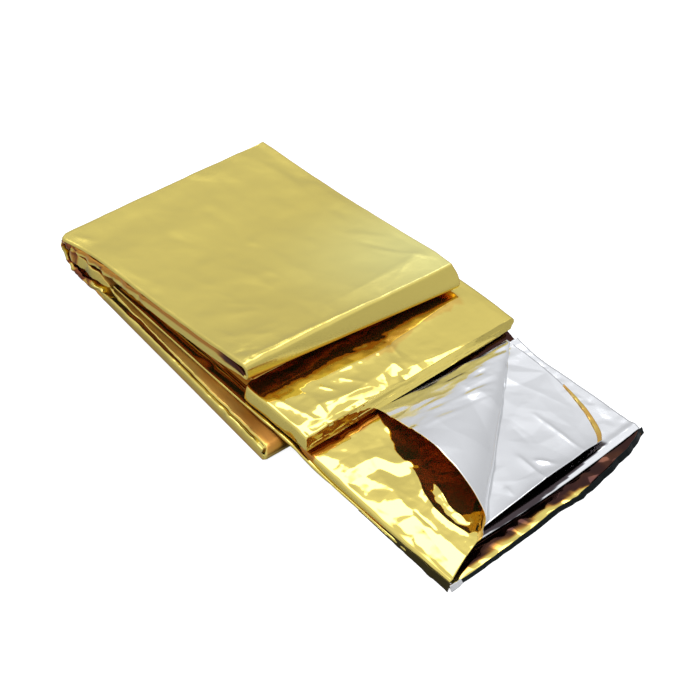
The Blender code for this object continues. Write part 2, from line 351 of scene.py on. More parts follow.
class FilmSettings(bpy.types.PropertyGroup):
    gold: bpy.props.FloatVectorProperty(
        name="Gold side", description="Colour of the film's gold side", subtype="COLOR", size=4,
        min=0.0, max=1.0, default=GOLD)
    silver: bpy.props.FloatVectorProperty(
        name="Silver side", description="Colour of the film's silver side", subtype="COLOR", size=4,
        min=0.0, max=1.0, default=SILVER)
    ply: bpy.props.FloatProperty(
        name="Ply", description="Drawn thickness of a single page", default=0.00022,
        min=0.0001, max=0.001, unit="LENGTH", precision=5)
    crumple: bpy.props.FloatProperty(
        name="Crumple", description="How strongly the film is crumpled, as a share of the real one",
        default=1.0, min=0.0, max=2.0)
    seed: bpy.props.IntProperty(
        name="Seed", description="Picks another set of fine wrinkles", default=7, min=0)


class StageSettings(bpy.types.PropertyGroup):
    azimuth: bpy.props.FloatProperty(
        name="Azimuth", description="Camera's angle round the blanket", subtype="ANGLE",
        default=math.radians(-39.272))
    elevation: bpy.props.FloatProperty(
        name="Elevation", description="Camera's angle above the floor", subtype="ANGLE",
        default=math.radians(40.511))
    distance: bpy.props.FloatProperty(
        name="Distance", description="From the camera to the point it looks at", default=0.82805,
        min=0.1, unit="LENGTH")
    target: bpy.props.FloatVectorProperty(
        name="Target", description="The point the camera looks at", size=3,
        default=(-0.000876, -0.003580, 0.008), subtype="TRANSLATION")
    lens: bpy.props.FloatProperty(
        name="Lens", description="Focal length in millimetres on a 36 mm sensor", default=113.2,
        min=10.0)
    floor: bpy.props.FloatProperty(
        name="Floor", description="Side of the floor", default=6.0, min=1.0, unit="LENGTH")


# ---------------------------------------------------------------- shaping

GRAINS = 32                  # of smooth noise, before it repeats
FIRST_GRAIN = 100.37         # where it starts, so that nothing lies on its lattice
JITTER = 0.4                 # of the facets' corners, as a share of their pitch
PEAK_ROOM = 0.7              # and how far the others stay clear of a peak, as a share of it
UNDERCUT = 2.5               # how fast a pad's front runs back below its low edge


def axes(points):
    """Views of the points' x, y and z: to change one in place is to move the points."""
    return np.moveaxis(points, -1, 0)


def curve_through(rows, spans):
    """A smooth curve through rows of numbers, with this many spans from each row to the next."""
    rows = np.array(rows, dtype=float)
    out = []
    for index, count in enumerate(spans):
        a, b = rows[max(index - 1, 0)], rows[index]
        c, d = rows[index + 1], rows[min(index + 2, len(rows) - 1)]
        for t in np.arange(count) / count:
            bend = 2 * a - 5 * b + 4 * c - d + t * (3 * (b - c) + d - a)
            out.append(b + 0.5 * t * (c - a + t * bend))
    out.append(rows[-1])
    return np.array(out)


def run(sections, facet):
    """Rows of a run or a page, with facets of about this length."""
    lengths = [max(abs(a.y_left - b.y_left), abs(a.z_left - b.z_left))
               for a, b in zip(sections, sections[1:])]
    return curve_through(sections, [max(1, round(length / facet)) for length in lengths])


def fold_round(start, end, bulge, steps):
    """Rows round a fold from one run to the next; a bulge above nothing is towards the back."""
    angles = math.pi * np.arange(1, steps) / steps
    rows = np.array(start) + (np.array(end) - np.array(start)) * ((1 - np.cos(angles)) / 2)[:, None]
    rows[:, :2] += (bulge * np.sin(angles))[:, None]
    return rows


def along(rows):
    """Distance travelled along the strip's middle at each row."""
    middle = (rows[:, [2, 0, 4]] + rows[:, [3, 1, 5]]) / 2
    return np.concatenate([[0], np.cumsum(np.linalg.norm(np.diff(middle, axis=0), axis=1))])


def round_end(rows, last):
    """Thins the strip's free end out to nothing, along a quarter circle."""
    rows = rows[::-1].copy() if last else rows.copy()
    travelled = along(rows)
    radius = rows[0, 6:8].mean() / 2
    angles = np.linspace(0, math.pi / 2, END_STEPS + 1)
    near = radius * (1 - np.cos(angles))
    tip = np.stack([np.interp(near, travelled, values) for values in rows.T], axis=1)
    tip[:, 6:8] *= np.maximum(np.sin(angles), 0.01)[:, None]
    rows = np.vstack([tip, rows[travelled > radius * 1.05]])
    return rows[::-1] if last else rows


def unit(vectors):
    """The same vectors with a length of one."""
    return vectors / np.maximum(np.linalg.norm(vectors, axis=-1, keepdims=True), 1e-9)


def tube(rows, columns_over, columns_under, edge_radius=EDGE_RADIUS, lean=0.0, side_steps=0):
    """The strip's skin: a ring of columns at each row, over it, round its right edge, under it
    and round its left edge. The left edge may lean inwards from its foot to its shoulder."""
    quarter = np.linspace(0, math.pi / 2, ROUND_STEPS + 1)
    over, under = np.linspace(0, 1, columns_over), np.linspace(1, 0, columns_under)
    flat_over, flat_under = np.zeros(columns_over), np.zeros(columns_under)
    straight = np.linspace(1, -1, side_steps + 2)[1:-1]
    around = np.concatenate([quarter[1:], 0 * straight + math.pi / 2, quarter[:0:-1]])
    drop = np.concatenate([np.ones(ROUND_STEPS), straight, -np.ones(ROUND_STEPS)])
    whole = np.ones(len(around))
    share = np.concatenate([over, whole, under, 0 * whole])
    angle = np.concatenate([flat_over, around, flat_under, around])
    up = np.concatenate([flat_over + 1, drop, flat_under - 1, -drop])
    side = np.concatenate([flat_over, whole, flat_under, -whole])

    left, right = rows[:, [2, 0, 4]], rows[:, [3, 1, 5]]
    across = right - left
    width = np.linalg.norm(across, axis=1)[:, None]
    across = unit(across)
    normals = [unit(np.cross(across, np.gradient(edge, axis=0))) for edge in (left, right)]
    half = (rows[:, 6:7] * (1 - share) + rows[:, 7:8] * share) / 2
    radius = np.minimum(half * (SIDE_ROUND if side_steps else 1), edge_radius)
    reach = radius + share * (width - 2 * radius) + side * radius * np.sin(angle)
    height = up * (half - radius + radius * np.cos(angle))
    across_share = share[None, :, None]
    normal = normals[0][:, None] * (1 - across_share) + normals[1][:, None] * across_share
    upright = -unit(normal)[:, :, 2]
    reach = reach + lean * (1 - share) * (upright * height / half + 1) / 2
    points = left[:, None] + across[:, None] * reach[:, :, None] - unit(normal) * height[:, :, None]
    y = points[:, :, 1]
    bow = np.clip((y - FRONT_BOW_FROM) / (FRONT_BOW_TO - FRONT_BOW_FROM), 0, 1.2)
    y -= FRONT_BOW * bow * front_shape(np.clip(reach / width, 0, 1))
    return points


def front_shape(share):
    """The open end's front edge across its width, as a share of its bow."""
    bulge = inside(share, BULGE_FROM, BULGE_TO, BULGE_FADE)
    return np.sin(math.pi * share) + FRONT_BULGE * bulge


def grid_normals(points, ring):
    """Outward normals of a grid of points, whose columns may close into a ring."""
    down = np.gradient(points, axis=0)
    if ring:
        across = (np.roll(points, -1, axis=1) - np.roll(points, 1, axis=1)) / 2
    else:
        across = np.gradient(points, axis=1)
    return unit(np.cross(down, across))


def raised(points, lift, ring=True):
    """The points, moved out of the film by their lift."""
    lift = lift * bpy.context.scene.blanket_film.crumple
    return points + grid_normals(points, ring) * lift[:, :, None]


def dice(number):
    """Random numbers for one set of wrinkles: the same ones each time."""
    return np.random.RandomState(bpy.context.scene.blanket_film.seed + number)


def lattice_noise(points, size, number):
    """Smooth noise between -1 and 1 with grains of this size."""
    grains = dice(number).uniform(-1, 1, (GRAINS,) * 3)
    place = points / size + FIRST_GRAIN
    cell = np.floor(place).astype(int)
    t = place - cell
    t = t * t * (3 - 2 * t)
    out = 0.0
    for corner in np.ndindex(2, 2, 2):
        weight = np.prod(np.where(corner, t, 1 - t), axis=-1)
        index = (cell + corner) % GRAINS
        out = out + weight * grains[tuple(axes(index))]
    return out


def crushed(points, pitch, number, peaks=()):
    """Flat facets between sharp creases, as in film that has been crushed, between -1 and 1. Their
    corners lie about a pitch apart, apart from the peaks, which are listed."""
    random = dice(number)
    x, y = points[..., 0], points[..., 1]
    corners = [(a + pitch * random.uniform(-JITTER, JITTER),
                b + pitch * random.uniform(-JITTER, JITTER), random.uniform(-1, 1))
               for a in np.arange(x.min() - pitch, x.max() + 2 * pitch, pitch)
               for b in np.arange(y.min() - pitch, y.max() + 2 * pitch, pitch)]
    corners = [(a, b, height) for a, b, height in corners
               if all(math.hypot(a - p.x, b - p.y) > PEAK_ROOM * pitch for p in peaks)]
    corners += peaks
    flat = delaunay_2d_cdt([Vector(corner[:2]) for corner in corners], [], [], 0, 1e-6)
    spots, triangles, sources = flat[0], flat[2], flat[3]
    out = np.zeros(x.shape)
    for triangle in triangles:
        (ax, ay), (bx, by), (cx, cy) = (spots[v] for v in triangle)
        near = ((x >= min(ax, bx, cx)) & (x <= max(ax, bx, cx))
                & (y >= min(ay, by, cy)) & (y <= max(ay, by, cy)))
        area = (bx - ax) * (cy - ay) - (cx - ax) * (by - ay)
        px, py = x[near] - ax, y[near] - ay
        u = (px * (cy - ay) - (cx - ax) * py) / area
        v = ((bx - ax) * py - px * (by - ay)) / area
        heights = [corners[sources[index][0]][2] for index in triangle]
        within = (u >= -1e-6) & (v >= -1e-6) & (u + v <= 1 + 1e-6)
        value = heights[0] * (1 - u - v) + heights[1] * u + heights[2] * v
        out[near] = np.where(within, value, out[near])
    return out


def crease_field(points, creases):
    """Height of the creases at these points: sharp ridges that die away at both sides."""
    out = 0.0
    for crease in creases:
        start = np.array([crease.x_from, crease.y_from])
        line = np.array([crease.x_to, crease.y_to]) - start
        off = points[..., :2] - start
        t = np.clip(off @ line / (line @ line), 0, 1)
        away = np.linalg.norm(off - t[..., None] * line, axis=-1)
        away = np.hypot(away, RIDGE_ROUND) - RIDGE_ROUND
        height = crease.height * (CREASE_ENDS + (1 - CREASE_ENDS) * np.sin(math.pi * t) ** 0.7)
        out = out + height * np.exp(-away / crease.width)
    return out


def softened(lift):
    """The same lift with its creases rounded a little, so that they don't catch on the grid."""
    for axis in (0, 1):
        wide = np.pad(lift, [(1, 1) if axis == side else (0, 0) for side in (0, 1)], mode="edge")
        lift = (np.take(wide, range(lift.shape[axis]), axis) + 2 * lift
                + np.take(wide, range(2, lift.shape[axis] + 2), axis)) / 4
    return lift


def above(value, low, fade):
    """One above low, fading out below it."""
    t = np.clip((value - low) / fade + 1, 0, 1)
    return t * t * (3 - 2 * t)


def below(value, high, fade):
    """One below high, fading out above it."""
    return above(-value, -high, fade)


def inside(value, low, high, fade):
    """One between low and high, fading out past them."""
    return np.minimum(above(value, low, fade), below(value, high, fade))


def reach_left(points):
    """How far each point lies from the leftmost point of its row."""
    return points[..., 0] - points[..., 0].min(axis=1, keepdims=True)


def from_left(points):
    """The points as their left side shows them, with their height in the place of x."""
    return points[..., [2, 1, 0]]


def crushed_side(points, y_from, number):
    """How far the strip's left side is crushed in and out, behind this y."""
    near = below(reach_left(points), 1.2, 1.2) * above(points[..., 1], y_from, 16)
    face = from_left(points)
    return near * (0.6 * crushed(face, 3.4, number) + 0.4 * crushed(face, 1.8, number + 1))


def margin(columns, over, fade):
    """One on the columns over the strip, fading out towards its edges, and nothing elsewhere."""
    out = np.zeros(columns)
    place = np.arange(over)
    out[:over] = np.clip(np.minimum(place, place[::-1]) / fade, 0, 1)
    return out


def read(rows, x, column):
    """A column of a table, read between its rows at these x."""
    return np.interp(x, [row.x for row in rows], [getattr(row, column) for row in rows])


def slant_front(points, crease, low_edge):
    """Presses a pad's rounded front back to a slanting face between its crease and its low edge."""
    x, y, z = axes(points)
    y_crease, z_crease, y_low, z_low = (
        read(edge, x, axis) for edge in (crease, low_edge) for axis in "yz")
    face = y_crease + (z_crease - z) / (z_crease - z_low) * (y_low - y_crease)
    under = y_low + np.maximum(z_low - z, 0) * UNDERCUT
    y[:] = np.maximum(y, np.maximum(face, under))
    return points


def add_mesh(name, points, finishes, ring=True):
    """A grid of points as a mesh object with its faces outwards."""
    rows, columns = points.shape[:2]
    index = np.arange(rows * columns).reshape(rows, columns)
    if ring:
        index = np.hstack([index, index[:, :1]])
    quads = np.stack([index[:-1, :-1], index[1:, :-1], index[1:, 1:], index[:-1, 1:]], axis=-1)
    faces = quads.reshape(-1, 4).tolist()
    if ring:
        faces += [index[0, :-1].tolist(), index[-1, -2::-1].tolist()]
    mesh = bpy.data.meshes.new(name)
    mesh.from_pydata((points.reshape(-1, 3) * MM + PLACE).tolist(), [], faces)
    mesh.validate()
    for finish in finishes:
        mesh.materials.append(film(finish))
    thing = bpy.data.objects.new(name, mesh)
    bpy.context.scene.collection.objects.link(thing)
    mesh.polygons.foreach_set("use_smooth", [True] * len(mesh.polygons))
    bpy.ops.object.select_all(action="DESELECT")
    thing.select_set(True)
    bpy.context.view_layer.objects.active = thing
    return thing


def mark(thing, name, amount):
    """Notes an amount at each point for the film's finish: the painted shade, how much shade is
    painted into its colour, darker and with the gold redder, as far into a fold; "shadow", how
    little light reaches it, painted as shadow; "pale", how much painted sheen lightens it; and
    "dull", how crushed it is."""
    values = thing.data.attributes.new(name, "FLOAT", "POINT")
    values.data.foreach_set("value", np.clip(amount, 0, 1).ravel())


def add_page(name, points, finishes, **marks):
    """One ply of film. With two finishes, the second one is its underside's."""
    thing = add_mesh(name, points, finishes, ring=False)
    for kind, amount in marks.items():
        mark(thing, kind, amount)
    ply = thing.modifiers.new("Ply", "SOLIDIFY")
    ply.thickness = bpy.context.scene.blanket_film.ply
    ply.offset = 0
    ply.material_offset = len(finishes) - 1
    bpy.ops.object.modifier_apply(modifier=ply.name)
    return thing


def dress(thing):
    """Puts a piece under the root body, and hides the solid that it stands for."""
    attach(thing, "root")
    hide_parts(SOLID)


# ---------------------------------------------------------------- shader maths


class Maths:
    """A socket of a shader, with arithmetic that adds its Math nodes."""

    def __init__(self, tree, socket):
        self.tree, self.socket = tree, socket

    def with_(self, operation, other, swapped=False):
        pair = (other, self) if swapped else (self, other)
        return node(self.tree, "ShaderNodeMath", {"operation": operation}, *pair)

    def __add__(self, other): return self.with_("ADD", other)
    def __radd__(self, other): return self.with_("ADD", other, True)
    def __sub__(self, other): return self.with_("SUBTRACT", other)
    def __rsub__(self, other): return self.with_("SUBTRACT", other, True)
    def __mul__(self, other): return self.with_("MULTIPLY", other)
    def __rmul__(self, other): return self.with_("MULTIPLY", other, True)
    def __abs__(self): return self.with_("ABSOLUTE", 0.0)


def plug(tree, made, *values, **named):
    """Sets or links a node's sockets: the first ones in their order, and others by their name."""
    pairs = [(made.inputs[i], v) for i, v in enumerate(values)]
    pairs += [(made.inputs[key.replace("_", " ")], v) for key, v in named.items()]
    for socket, value in pairs:
        if isinstance(value, Maths):
            tree.links.new(value.socket, socket)
        elif value is not None:
            socket.default_value = value


def node(tree, kind, settings, *values, output=0, **named):
    """Adds a node: first its settings, then the values or links of its sockets."""
    made = tree.nodes.new(kind)
    for key, value in settings.items():
        if key == "stops":
            ramp = made.color_ramp
            while len(ramp.elements) < len(value):
                ramp.elements.new(0.5)
            for element, (position, colour) in zip(ramp.elements, value):
                element.position, element.color = position, colour
        else:
            setattr(made, key, value)
    plug(tree, made, *values, **named)
    return Maths(tree, made.outputs[output])


def blend(tree, share, start, end):
    """A colour between two, whose sockets come after five that this Mix node doesn't use."""
    values = (share, *[None] * 5, start, end)
    return node(tree, "ShaderNodeMix", {"data_type": "RGBA"}, *values, output=2)


def marked(tree, name):
    """The amount that mark() has noted under this name."""
    return node(tree, "ShaderNodeAttribute", {"attribute_name": name}, output="Fac")


def new_material(name):
    """A material with its node tree."""
    material = bpy.data.materials.new(name)
    material.use_nodes = True
    return material, material.node_tree


def film_material(name, colour, tucked, darkest_shade, roughness, grain, grain_size, haze):
    """Metallised film: a tinted mirror with fine wrinkles, a breath of haze and uneven colour, with
    painted shade, painted shadow and painted sheen mixed into its colour where they are marked.
    """
    material, tree = new_material(name)
    place = node(tree, "ShaderNodeTexCoord", {}, output="Object")
    broad = node(tree, "ShaderNodeTexNoise", {}, Vector=place, Scale=45.0, Detail=3.0)
    fine = node(tree, "ShaderNodeTexNoise", {}, Vector=place, Scale=grain_size, Detail=4.0,
                Roughness=0.55)
    creases = node(tree, "ShaderNodeTexVoronoi", {"feature": "DISTANCE_TO_EDGE"}, Vector=place,
                   Scale=grain_size * 0.3)
    height = fine * grain + creases.with_("MINIMUM", 0.25) * grain
    bump = node(tree, "ShaderNodeBump", {}, Strength=1.0, Distance=0.001, Height=height)
    deeper = tuple(part * 0.94 for part in colour[:3]) + (1.0,)
    sheen_colour = tuple(min(1.0, part * lift) for part, lift in zip(colour, PAINTED_SHEEN))
    shade_amount = marked(tree, "tucked") * 2
    shown = colour
    for share, shade in ((broad, deeper), (marked(tree, "pale"), sheen_colour), (shade_amount, tucked),
                         (shade_amount - 1, darkest_shade), (marked(tree, "shadow"), SHADOW)):
        shown = blend(tree, share, shown, shade)
    plug(tree, tree.nodes["Principled BSDF"], Base_Color=shown, Metallic=0.97, Normal=bump,
         Roughness=roughness + broad * haze + marked(tree, "dull"))
    return material


def film(name):
    """The finishes, made once."""
    if name in bpy.data.materials:
        return bpy.data.materials[name]
    settings = bpy.context.scene.blanket_film
    gold, silver = tuple(settings.gold), tuple(settings.silver)
    recipes = {
        "edges in painted shade": (EDGE_SHADE, EDGE_SHADE, EDGE_SHADE, 0.22, 0.05, 500.0, 0.2),
        "edges in olive painted shade": (EDGE_OLIVE_SHADE, EDGE_SHADE, EDGE_SHADE, 0.10, 0.03, 500.0, 0.1),
        "gold film, pressed": (gold, SHADED_GOLD, DARKEST_SHADED_GOLD, 0.16, 0.025, 700.0, 0.08),
        "gold film": (gold, SHADED_GOLD, DARKEST_SHADED_GOLD, 0.012, 0.004, 600.0, 0.02),
        "silver film": (silver, silver, silver, 0.14, 0.02, 500.0, 0.08),
        "silver film, bright": (silver, SHADED_SILVER, SHADED_SILVER, 0.06, 0.012, 500.0, 0.06),
    }
    return film_material(name, *recipes[name])


# ---------------------------------------------------------------- pieces


class OBJECT_OT_blanket_top_pad(bpy.types.Operator):
    """The topmost pad, with the strip's free end at its back and its fold at the front"""
    bl_idname = "object.blanket_top_pad"
    bl_label = "Top pad"

    def execute(self, context):
        top = np.vstack([run(TOP_RUN[:-1], 1.0), run(TOP_RUN[-2:], 0.25)[1:]])
        top = round_end(top, False)
        lower = run(SECOND_RUN, PAGE_FACET)
        rows = np.vstack([top, run(FRONT_FOLD, FINE_FACET),
                          run([FRONT_FOLD[-1], SECOND_RUN[0]], FINE_FACET)[1:-1], lower])
        points = tube(rows, TOP_COLUMNS, 40, edge_radius=0.7, lean=0.8, side_steps=SIDE_STEPS)
        columns = points.shape[1]
        column, row = np.arange(columns)[None, :], np.arange(len(rows))[:, None]
        over, first_lower = column < TOP_COLUMNS, len(rows) - len(lower)
        face = margin(columns, TOP_COLUMNS, 5)

        x, y, z = axes(points)
        lift = crease_field(points, TOP_CREASES) + 0.22 * lattice_noise(points, 38, 0)
        lift += 0.05 * lattice_noise(points * (1, 2, 1), 8, 3)
        lift += 0.18 * crushed(points * (1, 0.6, 1), 7, 4)
        lift += 0.05 * crushed(points * (1, 0.6, 1), 3, 8)
        lift += 0.35 * below(x, 6, 10) * inside(y, -114, -111, 10) * crushed(points, 2.6, 6)
        lift *= face * inside(row, 4, len(top) - 2, 5)
        lift += 0.10 * lattice_noise(points, 5, 5) * (1 - face)
        points = raised(points, softened(lift))
        x, y, z = axes(points)
        side = crushed_side(points, -46, 9) * (row > first_lower)
        x += side * context.scene.blanket_film.crumple
        thing = add_mesh("top_pad", points, ["gold film, pressed"])

        # Painted shade: the crushed left side near the back is painted dark in spots.
        dark_side = -2.6 + 3 * above(y, -7, 5) + 6 * crushed(from_left(points), 2.2, 10)
        dark_side = np.clip(dark_side, 0, 1) * above(y, -24, 3)
        # Painted shade: the gap under the top ply is painted brown, wide near the back, and painted
        # dark as shadow at the front corner.
        rear, front = inside(y, -32, -10, 12), below(y, -105, 8)
        side_column = column - (columns - 2 * ROUND_STEPS - SIDE_STEPS)
        gap_to = ROUND_STEPS + (SIDE_STEPS - 1) * (0.6 * rear + 0.4 * front)
        gap = inside(side_column, 0, gap_to, 1.2) * (0.66 + 0.34 * front - 0.12 * rear)
        left = (x < 20) * (row > first_lower)
        sides = 0.4 * above(x, 4.6, 1) + np.maximum(dark_side, gap) * left
        # Painted shade: the lower ply's top, inside the front fold, is painted darker and redder,
        # as are the pad's underside and right side.
        mark(thing, "tucked", np.where(over, 0.55 * np.clip((row - first_lower) / 3, 0, 1), sides))
        mark(thing, "shadow", 0.8 * gap * front * left)
        # Painted sheen: the top's right front is painted lighter, for the light it catches there.
        mark(thing, "pale", over * (row < len(top)) * above(x, 108, 75) * below(y, -104, 60))
        dress(thing)
        return {"FINISHED"}


class OBJECT_OT_blanket_bottom_pad(bpy.types.Operator):
    """The lowest pad, with the wrap round the back that leads to it"""
    bl_idname = "object.blanket_bottom_pad"
    bl_label = "Bottom pad"

    def execute(self, context):
        crumple = context.scene.blanket_film.crumple
        wrap = np.vstack([run(BACK_WRAP, 0.5), run(BOTTOM_RUN, 0.9)[1:]])
        rows = np.vstack([wrap, fold_round(BOTTOM_RUN[-1], OVER_BOTTOM_RUN[0], -0.7, 8),
                          run(OVER_BOTTOM_RUN, 1.4)])
        points = tube(rows, 60, 60, edge_radius=0.8, lean=0.7)

        x, y, z = axes(points)
        lift = 0.12 * lattice_noise(points, 9, 20)
        lift += (0.06 + 0.8 * above(y, -26, 14)) * crushed(points, 4.2, 21)
        lift *= above(z, 1, 0.6) * below(y, -4, 5)
        points = raised(points, lift)
        x, y, z = axes(points)
        shoulder = above(z, 2.4, 1.5) * (reach_left(points) < 4)
        wavy = crushed(from_left(points), 2.3, 22) * lattice_noise(points * (0, 1, 0), 11, 23)
        x += 0.8 * crumple * shoulder * wavy
        x += crushed_side(points, -16, 25) * crumple
        reach = reach_left(points)
        slope = BAND_DROP * np.clip(1 - reach / BAND_WIDTH, 0, 1) * inside(y, -122, -40, 14)
        z -= slope * np.clip(z / 4, 0, 1)
        z[:] = np.maximum(z, 0)
        thing = add_mesh("bottom_pad", points, ["gold film"])

        # Painted shade and painted reflection: the band along the top's left, between the pads, is
        # painted copper, as gold seen in gold, and its front end dark as shadow. The foot of the
        # left side and the crushed wrap side are painted dark.
        over = (np.arange(len(rows))[:, None] > len(wrap)) * above(reach, 1.2, 1)
        band = over * inside(y, -136, -26, 10)
        nearer = below(y, -110, 50) + below(y, -128, 30)
        foot = 0.6 * below(z, 0.5, 0.5) * (reach < 3)
        shades = np.clip(0.4 + 6 * crushed(from_left(points), 2, 26), 0, 1)
        shades *= below(reach, 2.5, 1) * above(y, -14, 4)
        streaks = 0.12 * lattice_noise(points * (1, 0.3, 1), 3, 24)
        mark(thing, "tucked", (0.32 + 0.10 * nearer + streaks) * band + foot + shades)
        mark(thing, "dull", (0.52 - 0.06 * nearer) * band)
        mark(thing, "shadow", 0.42 * below(y, -134, 34) * band)
        dress(thing)
        return {"FINISHED"}


class OBJECT_OT_blanket_middle_pad(bpy.types.Operator):
    """The middle pad, which shows in front of the top pad"""
    bl_idname = "object.blanket_middle_pad"
    bl_label = "Middle pad"

    def execute(self, context):
        rows = np.vstack([
            run(MIDDLE_RUN[:5], PAD_FACET), run(MIDDLE_RUN[4:], 0.4)[1:],
            fold_round(MIDDLE_RUN[-1], UNDER_MIDDLE_RUN[0], -6.0, 24),
            run(UNDER_MIDDLE_RUN, PAD_FACET)])
        points = tube(rows, MIDDLE_COLUMNS, 50, edge_radius=1.2, lean=1.6)
        points = slant_front(points, MIDDLE_CREASE, MIDDLE_LOW_EDGE)
        over = np.arange(points.shape[1])[None, :] < MIDDLE_COLUMNS
        face = margin(points.shape[1], MIDDLE_COLUMNS, 7)

        x, y, z = axes(points)
        left = below(x, 50, 40)
        lift = crease_field(points, MIDDLE_CREASES) + 0.12 * lattice_noise(points, 16, 33)
        lift += (0.06 + 0.22 * left) * crushed(points, 7, 31, MIDDLE_PEAKS)
        lift += (0.02 + 0.05 * left) * crushed(points * (0.7, 1, 1), 3.2, 35)
        lift += (0.01 + 0.02 * left) * crushed(points, 1.8, 38)
        lift *= face * inside(y, -149.5, -108, 3) * above(z, 11.5, 1)
        lift += 0.10 * lattice_noise(points, 5, 36) * (1 - face)
        front = inside(z, 7.6, 12, 0.8) * below(y, -148, 1) * inside(x, 16, 28, 5)
        lift += 0.45 * front * crushed(points[..., [0, 2, 1]], 3.6, 34)
        points = raised(points, softened(lift))
        x, y, z = axes(points)
        line, slope, ragged = (read(MARGIN_LINE, x, part) for part in ("y", "slope", "ragged"))
        drop = slope * np.maximum(0, line + ragged * crushed(points, 5, 37) - y)
        z -= drop * np.clip((z - 9.4) / 3, 0, 1) * context.scene.blanket_film.crumple
        thing = add_mesh("middle_pad", points, ["gold film"])

        # Painted shade and painted shadow: the top behind a ragged line under the top pad's front,
        # and the left side under the top pad, are painted darker and redder.
        behind = y - read(SHADE_LINE, x, "y") + 1.6 * crushed(points, 3.5, 39)
        covered = below(x, 98, 3)
        shade = 0.2 * inside(behind, -1.5, 99, 1.5) + 0.15 * inside(behind, 3, 99, 3)
        mark(thing, "tucked", np.where(over, shade * covered, 0.55 * above(y, -114.2, 0.8)))
        shadow = 0.22 * inside(behind, 2, 99, 2.5) * covered
        mark(thing, "shadow", np.where(over, shadow, 0.4 * below(x, 9, 3) * above(y, -112, 3)))
        dress(thing)
        return {"FINISHED"}


def add_cut_edges(name, start, end, bow, finish):
    """A low ruffled strip of cut or rolled edges along the side of the open end."""
    share = np.linspace(0, 1, CUT_COLUMNS)[None, :]
    up = np.linspace(0, 1, CUT_ROWS)[:, None]
    x, y, height = (a * (1 - share) + b * share for a, b in zip(start, end))
    inward = unit(np.array([start[1] - end[1], end[0] - start[0]]))
    frill = CUT_FRILL * (0.1 + 0.9 * height / max(start[2], end[2]))
    points = np.stack(np.broadcast_arrays(x, y - bow * front_shape(share), up * height), axis=-1)
    out = frill * (0.5 + 0.5 * crushed(points, 3, 45)) - CUT_LEAN * up
    points[..., :2] -= inward * out[..., None]
    z = points[..., 2]
    z += 0.5 * frill * up * lattice_noise(points * (1, 1, 0), 3.1, 46)
    z[:] = np.maximum(z, CUT_CLEAR)
    thing = add_page(name, points, [finish])
    dress(thing)
    return thing


class OBJECT_OT_blanket_open_end(bpy.types.Operator):
    """The strip's last run, from the back of the packet to the open end"""
    bl_idname = "object.blanket_open_end"
    bl_label = "Open end"

    def execute(self, context):
        points = tube(round_end(run(LONG_RUN, 1.2), True), OPEN_COLUMNS, 40)
        x, y, z = axes(points)
        lift = 0.12 * lattice_noise(points, 8, 40) + 0.25 * crushed(points, 8, 41)
        lift += 0.2 * below(y, -208, 4) * crushed(points, 3.2, 44)
        points = raised(points, lift * above(z, 0.9, 0.4))
        x, y, z = axes(points)
        z[:] = np.maximum(z, 0)
        thing = add_mesh("open_end", points, ["gold film"])

        # Painted shade and painted shadow: behind a ragged line near the front, under the inner
        # page's lip, the gold is painted dark burgundy.
        share = np.clip(x / OPEN_WIDTH, 0, 1)
        front = OPEN_FRONT_LEFT * (1 - share) + OPEN_FRONT_RIGHT * share
        behind = y - front + FRONT_BOW * front_shape(share)
        behind += 0.8 * crushed(points, 5, 43) + 3.2 * above(share, 0.76, 0.22)
        covered = inside(behind, 3.2, 99, 1.5) * above(reach_left(points), 4, 2)
        shadow = 1.5 * covered - 0.5 + 0.2 * crushed(points, 4, 42)
        mark(thing, "tucked", 0.9 * covered)
        mark(thing, "shadow", np.clip(shadow, 0, 0.95) * (covered > 0))
        edges = [add_cut_edges(*row) for row in CUT_EDGES]
        dress(thing)
        return {"FINISHED"}


def page_points(edges, columns):
    """A page's points, row by row from its back to its front edge."""
    rows = run(edges, PAGE_FACET)
    share = np.linspace(0, 1, columns)
    y_left, y_right, x_left, x_right, z_left, z_middle, z_right = rows.T[:, :, None]
    rise = (z_middle - (z_left + z_right) / 2) * np.sin(math.pi * share)
    x = x_left * (1 - share) + x_right * share
    y = y_left * (1 - share) + y_right * share
    z = z_left * (1 - share) + z_right * share + rise
    bow = np.clip((y - FRONT_BOW_FROM) / (FRONT_BOW_TO - FRONT_BOW_FROM), 0, None)
    return np.stack([x, y - FRONT_BOW * bow * np.sin(math.pi * share), z], axis=-1)


